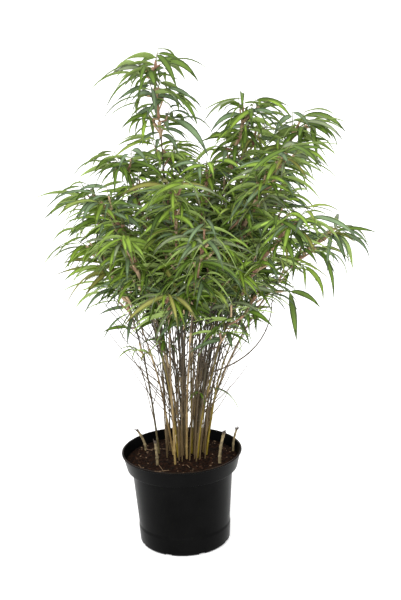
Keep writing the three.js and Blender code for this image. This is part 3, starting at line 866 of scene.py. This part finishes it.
def leaf_faces():
    """The faces of a leaf, in strips from its root over its rows to its tip, and the material of each."""
    rows = len(LEAF_ROWS)
    tip = 1 + ROW_POINTS * rows
    faces, slots = [], []
    for place, slot in enumerate(STRIP_SLOTS):
        first = [1 + ROW_POINTS * i + place for i in range(rows)]
        second = [1 + ROW_POINTS * i + (place + 1) % ROW_POINTS for i in range(rows)]
        faces.append([0, second[0], first[0]])
        faces += [[first[i], second[i], second[i + 1], first[i + 1]] for i in range(rows - 1)]
        faces.append([first[-1], second[-1], tip])
        # the tip is painted dark like the edges, as shade
        painted_shade_tip = PAINTED_SHADE_SLOT if slot == UPPER_SLOT else slot
        slots += [slot] * TIP_ROW + [painted_shade_tip] * (rows + 1 - TIP_ROW)
    return faces, slots


LEAF_FACES, LEAF_SLOTS = leaf_faces()
LEAF_POINTS = 2 + ROW_POINTS * len(LEAF_ROWS)


def leaf_points(curve, side, width, turn, twist):
    """The points of a leaf that follows a curve, folded along its midrib and a little twisted."""
    along = curve.tangent(LEAF_ROWS)
    level = unit(side - (along @ side)[:, None] * along)
    turns = np.radians(turn + twist * LEAF_ROWS)[:, None]
    across = level * np.cos(turns) + np.cross(level, along) * np.sin(turns)
    normal = np.cross(across, along)
    half = leaf_half_widths(width)[:, None]
    middle = curve.at(LEAF_ROWS)
    out = half * math.cos(math.radians(LEAF_FOLD)) * across
    lift = half * math.sin(math.radians(LEAF_FOLD)) * normal
    upper = [middle + share * out + abs(share) * lift for share in (-1, -INNER_SHARE, 0, INNER_SHARE, 1)]
    rows = np.stack([*upper, middle - normal * LEAF_THICKNESS], axis=1)
    return np.concatenate([curve.at([0]), rows.reshape(-1, 3), curve.at([1])])


def mark_leaf_edges(mesh):
    """Marks the outlines of a mesh of leaves as sharp, so that both sides shade smoothly."""
    ends = np.empty(2 * len(mesh.edges), np.int32)
    mesh.edges.foreach_get("vertices", ends)
    place = ends.reshape(-1, 2) % LEAF_POINTS
    is_end = (place == 0) | (place == LEAF_POINTS - 1)
    kind = (place - 1) % ROW_POINTS
    on_left = (is_end | (kind == 0)).all(1)
    on_right = (is_end | (kind == RIGHT_EDGE)).all(1)
    sharp = mesh.attributes.new("sharp_edge", "BOOLEAN", "EDGE")
    sharp.data.foreach_set("value", on_left | on_right)


def add_object(name, data):
    """Puts a mesh, a light or a camera into the scene."""
    thing = bpy.data.objects.new(name, data)
    bpy.context.scene.collection.objects.link(thing)
    return thing


def add_piece(name, batch, materials):
    """Makes one object of a batch, riding on the plant's only body."""
    mesh = bpy.data.meshes.new(name)
    mesh.from_pydata(np.concatenate(batch.points).tolist(), [], batch.faces)
    mesh.polygons.foreach_set("material_index", batch.slots)
    mesh.polygons.foreach_set("use_smooth", [True] * len(batch.faces))
    for material in materials:
        mesh.materials.append(material)
    piece = add_object(name, mesh)
    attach(piece, "root")
    return piece


class Paint:
    """A material whose colour, roughness and bump are worked out from places on the object."""

    def __init__(self, name, roughness, specular=0.5):
        self.material = bpy.data.materials.new(name)
        self.material.use_nodes = True
        self.tree = self.material.node_tree
        self.shader = self.tree.nodes["Principled BSDF"]
        self.place = self.tree.nodes.new("ShaderNodeTexCoord").outputs["Object"]
        self.fill(self.shader, {"Roughness": roughness, "Specular IOR Level": specular})

    def fill(self, node, inputs):
        """Sets a node's inputs to values, or links them to the outputs of other nodes."""
        for name, value in inputs.items():
            if isinstance(value, bpy.types.NodeSocket):
                self.tree.links.new(value, node.inputs[name])
            else:
                node.inputs[name].default_value = value

    def node(self, kind, inputs):
        node = self.tree.nodes.new(f"ShaderNode{kind}")
        self.fill(node, inputs)
        return node

    def noise(self, size, detail=3, stretch=(1, 1, 1)):
        """A noise whose features are about size metres across, drawn out along axes by stretch."""
        place = self.node("Mapping", {"Scale": [1 / share for share in stretch], "Vector": self.place})
        inputs = {"Scale": 1 / size, "Detail": detail, "Vector": place.outputs["Vector"]}
        return self.node("TexNoise", inputs).outputs["Fac"]

    def height(self, low, high):
        """0 at a height and below it, 1 at another and above it."""
        height = self.node("SeparateXYZ", {"Vector": self.place}).outputs["Z"]
        span = self.node("MapRange", {"From Min": low, "From Max": high, "Value": height})
        return span.outputs["Result"]

    def ramp(self, value, stops):
        """Colours along a value: a list of places from 0 to 1, each with its colour."""
        node = self.node("ValToRGB", {"Fac": value})
        elements = node.color_ramp.elements
        while len(elements) < len(stops):
            elements.new(0.5)
        for element, (place, color) in zip(elements, stops):
            element.position = place
            element.color = (*color, 1)
        return node.outputs["Color"]

    def mottle(self, value, color, low, high):
        """A colour that varies along a value between two factors of it."""
        return self.ramp(value, [(0.3, shade(color, low)), (0.7, shade(color, high))])

    def mix(self, value, first, second, kind="MIX"):
        node = self.tree.nodes.new("ShaderNodeMix")
        node.data_type = "RGBA"
        node.blend_type = kind
        self.fill(node, {"Factor": value, "A": first, "B": second})
        return node.outputs["Result"]

    def color(self, source):
        self.fill(self.shader, {"Base Color": source})

    def roughness(self, value, low, high):
        span = self.node("MapRange", {"To Min": low, "To Max": high, "Value": value})
        self.fill(self.shader, {"Roughness": span.outputs["Result"]})

    def bump(self, value, depth, strength=1.0):
        node = self.node("Bump", {"Distance": depth, "Strength": strength, "Height": value})
        self.fill(self.shader, {"Normal": node.outputs["Normal"]})


def shade(color, factor):
    return tuple(min(1.0, channel * factor) for channel in color)


def pot_material():
    """Black plastic, with a little dry compost on the rim."""
    paint = Paint("pot_plastic", 0.3, specular=0.035)
    cloud = paint.noise(35 * MM, detail=4)
    on_rim = paint.height(POT_HEIGHT - LIP_HEIGHT / 3, POT_HEIGHT)
    paint.color(paint.mix(on_rim, paint.ramp(cloud, POT_BLACKS), paint.ramp(cloud, POT_DUST)))
    paint.roughness(paint.noise(9 * MM, detail=5), 0.24, 0.38)
    paint.bump(paint.noise(1.4 * MM, detail=2), 0.08 * MM, 0.5)
    return paint.material


def compost_material():
    paint = Paint("compost", 0.95, specular=0.1)
    paint.color(paint.ramp(paint.noise(5 * MM, detail=8), COMPOST_BROWNS))
    paint.bump(paint.noise(1.6 * MM, detail=6), 1.2 * MM)
    return paint.material


def chip_material(name, color):
    paint = Paint(f"chip_{name}", 0.85, specular=0.12)
    paint.color(paint.mottle(paint.noise(3 * MM, detail=5), color, 0.5, 1.3))
    paint.bump(paint.noise(0.8 * MM, detail=4), 0.4 * MM)
    return paint.material


def cane_material(name):
    """A cane's colour from its foot to the crown, with fine streaks along it."""
    paint = Paint(name, 0.42, specular=0.3)
    streaks = paint.noise(1.6 * MM, detail=3, stretch=(1, 1, 25))
    blotches = paint.noise(22 * MM, detail=4, stretch=(1, 1, 2))
    foot, top = (paint.mottle(streaks, color, 0.7, 1.25) for color in CANE_TONES[name])
    graded = paint.mix(paint.height(SOIL_TOP, CROWN_HEIGHTS[0]), foot, top)
    paint.color(paint.mix(1.0, graded, paint.ramp(blotches, CANE_SPOTS), "MULTIPLY"))
    paint.roughness(blotches, 0.36, 0.6)
    paint.bump(streaks, 0.15 * MM, 0.6)
    return paint.material


def plain_material(name):
    """A colour that varies a little from place to place, with a fine grain."""
    color, roughness, patches, contrast = PLAIN[name]
    paint = Paint(name, roughness, specular=0.4)
    paint.color(paint.mottle(paint.noise(patches, detail=4), color, 1 - contrast, 1 + contrast))
    paint.bump(paint.noise(patches / 8, detail=3), 0.1 * MM, 0.5)
    return paint.material


def leaf_material(name, color, roughness):
    paint = Paint(f"leaf_{name}", roughness, specular=0.2)
    paint.color(paint.mottle(paint.noise(45 * MM, detail=3), color, 0.72, 1.28))
    paint.bump(paint.noise(2.2 * MM, detail=2), 0.12 * MM, 0.4)
    return paint.material


def collar_inside(height):
    share = (height - (POT_HEIGHT - COLLAR_HEIGHT)) / (COLLAR_HEIGHT - LIP_HEIGHT)
    return COLLAR_FOOT_RADIUS + (POT_TOP_RADIUS - LIP_OVERHANG - COLLAR_FOOT_RADIUS) * share - POT_WALL


def make_pot():
    collar_foot = POT_HEIGHT - COLLAR_HEIGHT
    body_slope = (BODY_TOP_RADIUS - POT_FOOT_RADIUS) / (collar_foot - FOOT_CHAMFER)
    band_radius = POT_FOOT_RADIUS + body_slope * (FOOT_BAND_HEIGHT - FOOT_CHAMFER)
    outline = [
        (0, 0),
        (POT_FOOT_RADIUS - FOOT_CHAMFER, 0),
        (POT_FOOT_RADIUS, FOOT_CHAMFER),
        (band_radius, FOOT_BAND_HEIGHT),
        (band_radius - FOOT_BAND_STEP, FOOT_BAND_HEIGHT + FOOT_BAND_SLOPE),
        (BODY_TOP_RADIUS, collar_foot),
        (COLLAR_FOOT_RADIUS, collar_foot),
        (POT_TOP_RADIUS - LIP_OVERHANG, POT_HEIGHT - LIP_HEIGHT),
        (POT_TOP_RADIUS, POT_HEIGHT - LIP_HEIGHT),
        (POT_TOP_RADIUS, POT_HEIGHT),
        (collar_inside(POT_HEIGHT), POT_HEIGHT),
        (collar_inside(collar_foot + POT_WALL), collar_foot + POT_WALL),
        (BODY_TOP_RADIUS - POT_WALL, collar_foot + POT_WALL),
        (POT_FOOT_RADIUS - POT_WALL, FOOT_CHAMFER + POT_WALL),
        (POT_FOOT_RADIUS - POT_WALL - FOOT_CHAMFER, POT_WALL),
        (0, POT_WALL),
    ]
    batch = Batch()
    batch.add(lathe(rounded(outline, POT_FILLET), POT_SIDES))
    pot = add_piece("pot_shell", batch, [pot_material()])
    cut_drains(pot)
    pot.data.set_sharp_from_angle(angle=math.radians(SHARP_ANGLE))
    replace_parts(pot, "pot")


def cut_drains(pot):
    """Cuts the small drain notches round the pot's foot."""
    notches = Batch()
    for i in range(DRAIN_COUNT):
        turn = Matrix.Rotation((i + 0.5) / DRAIN_COUNT * 2 * math.pi, 3, "Z")
        corners = np.array(BOX_CORNERS) * DRAIN_SIZE + [POT_FOOT_RADIUS, 0, 0]
        notches.add((np.array([turn @ Vector(corner) for corner in corners]), BOX_FACES))
    cutter = add_piece("drain_cutter", notches, [])
    modifier = pot.modifiers.new("drains", "BOOLEAN")
    modifier.operation = "DIFFERENCE"
    modifier.object = cutter
    bpy.context.view_layer.update()
    cut = bpy.data.meshes.new_from_object(pot.evaluated_get(bpy.context.evaluated_depsgraph_get()))
    pot.modifiers.clear()
    pot.data = cut
    bpy.data.objects.remove(cutter)


def compost_height(x, y):
    """How high the compost's rough top is at a place."""
    away = (x - CLUMP_CENTRE[0])**2 + (y - CLUMP_CENTRE[1])**2
    mound = COMPOST_MOUND * math.exp(-away / MOUND_RADIUS**2)
    bumps = sum(depth * noise.noise(Vector((x, y, depth)) / size) for size, depth in COMPOST_ROUGH)
    return SOIL_TOP - COMPOST_DROP + mound + bumps


def make_compost():
    foot = POT_FOOT_RADIUS - POT_WALL - 2 * SEAT_GAP
    bottom = POT_WALL + SEAT_GAP
    shelf = POT_HEIGHT - COLLAR_HEIGHT + POT_WALL + SEAT_GAP
    edge = collar_inside(SOIL_TOP) - SEAT_GAP
    outline = [
        (0, bottom),
        (foot - FOOT_CHAMFER, bottom),
        (foot, FOOT_CHAMFER + bottom),
        (BODY_TOP_RADIUS - POT_WALL - 2 * SEAT_GAP, shelf),
        (collar_inside(shelf) - 2 * SEAT_GAP, shelf),
    ]
    lower_rings = len(outline) - 1
    outline += [(edge * (1 - ring / COMPOST_RINGS), SOIL_TOP) for ring in range(COMPOST_RINGS)]
    points, faces = lathe([*outline, (0, SOIL_TOP)], COMPOST_SIDES)
    for point in points[1 + lower_rings * COMPOST_SIDES:]:
        point[2] = compost_height(point[0], point[1])
    batch = Batch()
    batch.add((points, faces))
    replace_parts(add_piece("compost", batch, [compost_material()]), "soil")


def scattered(draw, reach):
    """A place on the compost, within a reach of its centre."""
    azimuth = 2 * math.pi * draw()
    return heading(azimuth)[:2] * reach * math.sqrt(draw())


def chip(draw, reach):
    """A rough box that lies on the compost, tilted a little."""
    place = scattered(draw, reach)
    length = between(draw, *CHIP_LENGTHS) * between(draw, CHIP_SHRINK, 1)
    size = length * np.array([1, between(draw, *CHIP_WIDTHS), between(draw, *CHIP_DEPTHS)])
    turn = Matrix.Rotation(2 * math.pi * draw(), 3, "Z")
    turn @= Matrix.Rotation(either_way(draw, CHIP_TILT), 3, "X")
    corners = []
    for corner in BOX_CORNERS:
        stray = [between(draw, *CHIP_CORNERS) for _ in range(3)]
        corners.append(turn @ Vector(np.array(corner) * stray * size))
    centre = np.array([*place, compost_height(*place) + size[2] * CHIP_RISE])
    return centre + np.array(corners), BOX_FACES


def straw(draw, reach):
    """A thin bit of straw that lies on the compost."""
    place = scattered(draw, reach)
    along = heading(2 * math.pi * draw(), between(draw, *STRAW_CLIMB)) * between(draw, *STRAW_LENGTHS)
    start = np.array([*place, compost_height(*place) + STRAW_HEIGHT]) - along / 2
    line = straight(start, start + along).line(STRAW_STEPS)
    return tube(line, [STRAW_RADIUS] * len(line), TWIG_SIDES)


def make_chips():
    """Crumbs and chips of bark on the compost, in several browns, and bits of pale straw."""
    draw = stream(CHIP_SEED)
    palest = len(CHIP_COLORS) - 1
    chips = Batch()
    reach = collar_inside(SOIL_TOP) - LITTER_MARGIN
    for _ in range(CHIP_COUNT):
        chips.add(chip(draw, reach), min(palest, int(draw() ** CHIP_DARKNESS * CHIP_KINDS)))
    for _ in range(STRAW_COUNT):
        chips.add(straw(draw, reach * STRAW_REACH), palest)
    materials = [chip_material(name, color) for name, color in CHIP_COLORS.items()]
    piece = add_piece("compost_chips", chips, materials)
    piece.data.polygons.foreach_set("use_smooth", [False] * len(piece.data.polygons))


def jointed(curve, foot_radius, tip_radius, spacings=NODE_SPACING):
    """Shares along a limb and the radius at each, with a raised ring at every joint, and the joints."""
    length = curve.length()
    shares = list(np.linspace(0, 1, max(2, round(length / RING_SPACING)) + 1))
    factors = [1.0] * len(shares)
    joints = []
    at = spacings[0] * FIRST_NODE
    while at < length - LAST_NODE:
        joints.append(at / length)
        for offset, factor in NODE_PROFILE:
            shares.append((at + offset * MM) / length)
            factors.append(factor)
        at += spacings[0] + (spacings[1] - spacings[0]) * at / length
    order = np.argsort(shares)
    shares = np.clip(np.array(shares)[order], 0, 1)
    radii = (foot_radius + (tip_radius - foot_radius) * shares) * np.array(factors)[order]
    return shares, radii, joints


def sheath_tube(curve, low, high, radius, sides=SHEATH_SIDES):
    """An old papery sheath round a limb, a little wider at its upper edge."""
    shares = np.linspace(low, high, len(SHEATH_FLARE))
    return tube(curve.at(shares), (radius + SHEATH_THICKNESS) * SHEATH_FLARE, sides)


def zigzag(curve, shares, draw):
    """The points of a limb at some shares, straying to a new side at even steps."""
    count = max(2, round(curve.length() / ZIGZAG_SPACING)) + 1
    stray = np.array([[either_way(draw, ZIGZAG) for _ in range(2)] for _ in range(count)])
    stray[0] = stray[-1] = 0
    places = np.linspace(0, 1, count)
    line = curve.at(shares)
    for axis in range(2):
        line[:, axis] += np.interp(shares, places, stray[:, axis])
    return line


def make_canes():
    tones = [cane_material(name) for name in GROWN_TONES]
    sheath = plain_material("old_sheath")
    draw = stream(CANE_SEED)
    for cane in CANES:
        batch = Batch()
        shares, radii, joints = jointed(cane.bare, CANE_FOOT_RADIUS, CANE_TIP_RADIUS)
        line = zigzag(cane.bare, shares, draw)
        tone = tones[min(len(tones) - 1, int(len(tones) * draw()))]
        batch.add(tube_from(root_of(cane.bare), line, radii), 0)
        for low, high in zip(joints, [*joints[1:], 1]):
            if draw() < SHEATHED:
                radius = CANE_FOOT_RADIUS + (CANE_TIP_RADIUS - CANE_FOOT_RADIUS) * low
                batch.add(sheath_tube(cane.bare, low, low + (high - low) * SHEATH_SHARE, radius), 1)
        piece = add_piece(f"culm_{cane.name}", batch, [tone, sheath])
        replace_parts(piece, f"cane_{cane.name}")


def make_shoots(curves, arch, twigs):
    """The thin young canes, the arched stem, and the fine bare twigs beside all canes."""
    draw = stream(THIN_SEED)
    batch = Batch()
    for curve in [*curves, arch]:
        shares, radii, _ = jointed(curve, *(ARCH_RADII if curve is arch else SHOOT_RADII))
        batch.add(tube_from(root_of(curve), zigzag(curve, shares, draw), radii, SHOOT_SIDES))
    for twig in twigs:
        shares, radii, _ = jointed(twig, *SIDE_TWIG_RADII, SIDE_TWIG_NODES)
        batch.add(tube(zigzag(twig, shares, draw), radii, TWIG_SIDES))
    add_piece("thin_canes", batch, [cane_material("cane_thin")])


def frayed_end(curve, radius, around, draw):
    """One splinter of a cut cane's ragged end."""
    root = curve.at(FRAY_START) + around * radius * FRAY_PLACE
    length = between(draw, *FRAY_LENGTHS)
    end = root + curve.tangent(1) * length + around * length * between(draw, *FRAY_SPREAD)
    return tube(straight(root, end).line(len(FRAY_RADII) - 1), radius * FRAY_RADII, FRAY_SIDES)


def make_stubs():
    materials = [plain_material("cut_cane"), plain_material("frayed_end")]
    draw = stream(STUB_SEED)
    for stub in STUBS:
        start = np.array([*stub["foot"], 0]) * MM + UP * SOIL_TOP
        lean = np.array([*stub["lean"], stub["height"]]) * MM
        curve = Curve(start, start + UP * stub["height"] * MM / 2, start + lean)
        radius = stub["radius"] * MM
        shares, radii, _ = jointed(curve, radius, radius * STUB_TAPER, STUB_NODES)
        batch = Batch()
        batch.add(tube_from(root_of(curve), curve.at(shares), radii), 0)
        for i in range(FRAY_COUNT):
            around = heading(2 * math.pi * (i + draw()) / FRAY_COUNT)
            batch.add(frayed_end(curve, radius, around, draw), 1)
        piece = add_piece(f"cut_cane_{stub['name']}", batch, materials)
        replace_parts(piece, f"stub_{stub['name']}")


def make_stems():
    """The leafy stems that carry on from the canes, in place of the model's masses of foliage."""
    draw = stream(STEM_SEED)
    batch = Batch()
    for cane in CANES:
        shares, radii, joints = jointed(cane.stem, CANE_TIP_RADIUS, STEM_TIP_RADIUS, STEM_NODES)
        batch.add(tube_from(cane.bare.at(STEM_START), cane.stem.at(shares), radii, STEM_SIDES), 0)
        for low, high in zip(joints, [*joints[1:], 1]):
            top = low + (high - low) * STEM_SHEATH_COVER
            sheath = sheath_tube(cane.stem, low, top, STEM_SHEATH_RADIUS)
            batch.add(sheath, 1 if draw() < TAN_SHEATHS else 2)
    piece = add_piece("leafy_stems", batch, [cane_material("stem_bark"), *sheaths()])
    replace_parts(piece, *[f"foliage_{cane.name}" for cane in CANES])


def sheaths():
    """The materials of the tan and the reddish papery sheaths of leafy stems and twigs."""
    return [plain_material("sheath_tan"), plain_material("sheath_red")]


def make_twigs(sprays):
    """Each spray's twig, with a tan or reddish sheath round its lower part."""
    draw = stream(TWIG_SEED)
    batch = Batch()
    radii = np.linspace(*TWIG_RADII, TWIG_STEPS + 1)
    for spray in sprays:
        batch.add(tube(spray.twig.line(TWIG_STEPS), radii, TWIG_SIDES), 0)
        cover = SHEATH_COVER * between(draw, *SHEATH_STRAY)
        sheath = sheath_tube(spray.twig, SHEATH_FOOT, cover, radii[0], TWIG_SIDES)
        batch.add(sheath, 1 if draw() < TAN_SHEATHS else 2)
    add_piece("leafy_twigs", batch, [plain_material("twig_green"), *sheaths()])


def tone_of(number, place):
    """The leaf tone that a number from 0 to 1 stands for, by the tones' shares at a place in the crown."""
    dark = max(np.interp(place[2], CROWN_HEIGHTS, [1, 0, 0, 1]), np.interp(place[0], CROWN_RIGHT, [0, 1]))
    for name, (_, middle_share, dark_share) in LEAF_TONES.items():
        number -= middle_share + (dark_share - middle_share) * dark
        if number <= 0:
            break
    return name


def make_leaves(sprays):
    """All leaves, dealt out to a few tones by spray, each tone one piece."""
    draw = stream(LEAF_SEED)
    batches = {name: Batch() for name in LEAF_TONES}
    for spray in sprays:
        place = spray.twig.at(1)
        batch = batches[spray.tone or tone_of(draw(), place)]
        for curve, side in spray.leaves:
            width = np.interp(place[2], CROWN_HEIGHTS[2:], LEAF_WIDTHS) * between(draw, *LEAF_WIDTH_STRAY)
            width *= spray.width * math.sqrt(min(1, curve.length() / LEAF_LENGTH))
            turn = either_way(draw, LEAF_TURN)
            twist = either_way(draw, LEAF_TWIST)
            batch.add((leaf_points(curve, side, width, turn, twist), LEAF_FACES), LEAF_SLOTS)
    under = leaf_material("underside", LEAF_UNDERSIDE, LEAF_ROUGHNESS["under"])
    for name, batch in batches.items():
        color = LEAF_TONES[name][0]
        upper = leaf_material(name, color, LEAF_ROUGHNESS["upper"])
        # the edges and tip: the leaf's colour darkened, as painted shade
        painted_shade_edge = leaf_material(f"margin_{name}", shade(color, EDGE_PAINTED_SHADE), LEAF_ROUGHNESS["painted_shade_edge"])
        piece = add_piece(f"leaves_{name}", batch, [upper, painted_shade_edge, under])
        mark_leaf_edges(piece.data)


def make_plant():
    sprays = []
    for seed, cane in enumerate(CANES):
        sprays += [*grow(cane, seed), *grow_inside(cane, seed)]
    curves = shoots()
    for seed, curve in enumerate(curves):
        sprays += grow_on_shoot(curve, seed)
    arch = Curve(*(np.array(point) * MM for point in ARCH))
    sprays += [*single_sprays(), arch_spray(arch)]
    twigs = [twig for seed, cane in enumerate(CANES) for twig in side_twigs(cane, seed)]
    make_canes()
    make_shoots(curves, arch, twigs)
    make_stubs()
    make_stems()
    make_twigs(sprays)
    make_leaves(sprays)


def make_camera():
    data = bpy.data.cameras.new("camera")
    data.sensor_width = SENSOR_WIDTH
    data.lens = SENSOR_WIDTH * FOCAL_PIXELS / LONG_SIDE_PIXELS
    camera = add_object("camera", data)
    place, aim = Vector(CAMERA_PLACE), Vector(CAMERA_AIM)
    level = (aim - place).to_track_quat("-Z", "Y").to_matrix()
    roll = Matrix.Rotation(CAMERA_ROLL, 3, "Z")
    camera.matrix_world = Matrix.Translation(place) @ (level @ roll).to_4x4()
    bpy.context.scene.camera = camera


def make_stage():
    """A plain white floor, a white surround and one large soft light."""
    floor = bpy.data.meshes.new("floor")
    rim = np.column_stack([circle(FLOOR_SIDES) * FLOOR_RADIUS, np.full(FLOOR_SIDES, -FLOOR_DROP)])
    floor.from_pydata(rim.tolist(), [], [list(range(FLOOR_SIDES))])
    paint = Paint("floor", 1)
    glow = {"Emission Color": (1, 1, 1, 1), "Emission Strength": FLOOR_GLOW}
    paint.fill(paint.shader, {"Base Color": FLOOR_WHITE} | glow)
    floor.materials.append(paint.material)
    ground = add_object("floor", floor)
    world = bpy.data.worlds.new("surround")
    world.use_nodes = True
    background = world.node_tree.nodes["Background"].inputs
    background["Color"].default_value = (1, 1, 1, 1)
    background["Strength"].default_value = SURROUND_STRENGTH
    bpy.context.scene.world = world
    sun = bpy.data.lights.new("key", "SUN")
    sun.energy = KEY_POWER
    sun.angle = math.radians(KEY_SOFTNESS)
    key = add_object("key", sun)
    key.rotation_euler = Vector(KEY_DIRECTION).to_track_quat("-Z", "Y").to_euler()
    bpy.context.scene.view_settings.view_transform = "Standard"


make_camera()
make_stage()
make_pot()
make_compost()
make_chips()
make_plant()
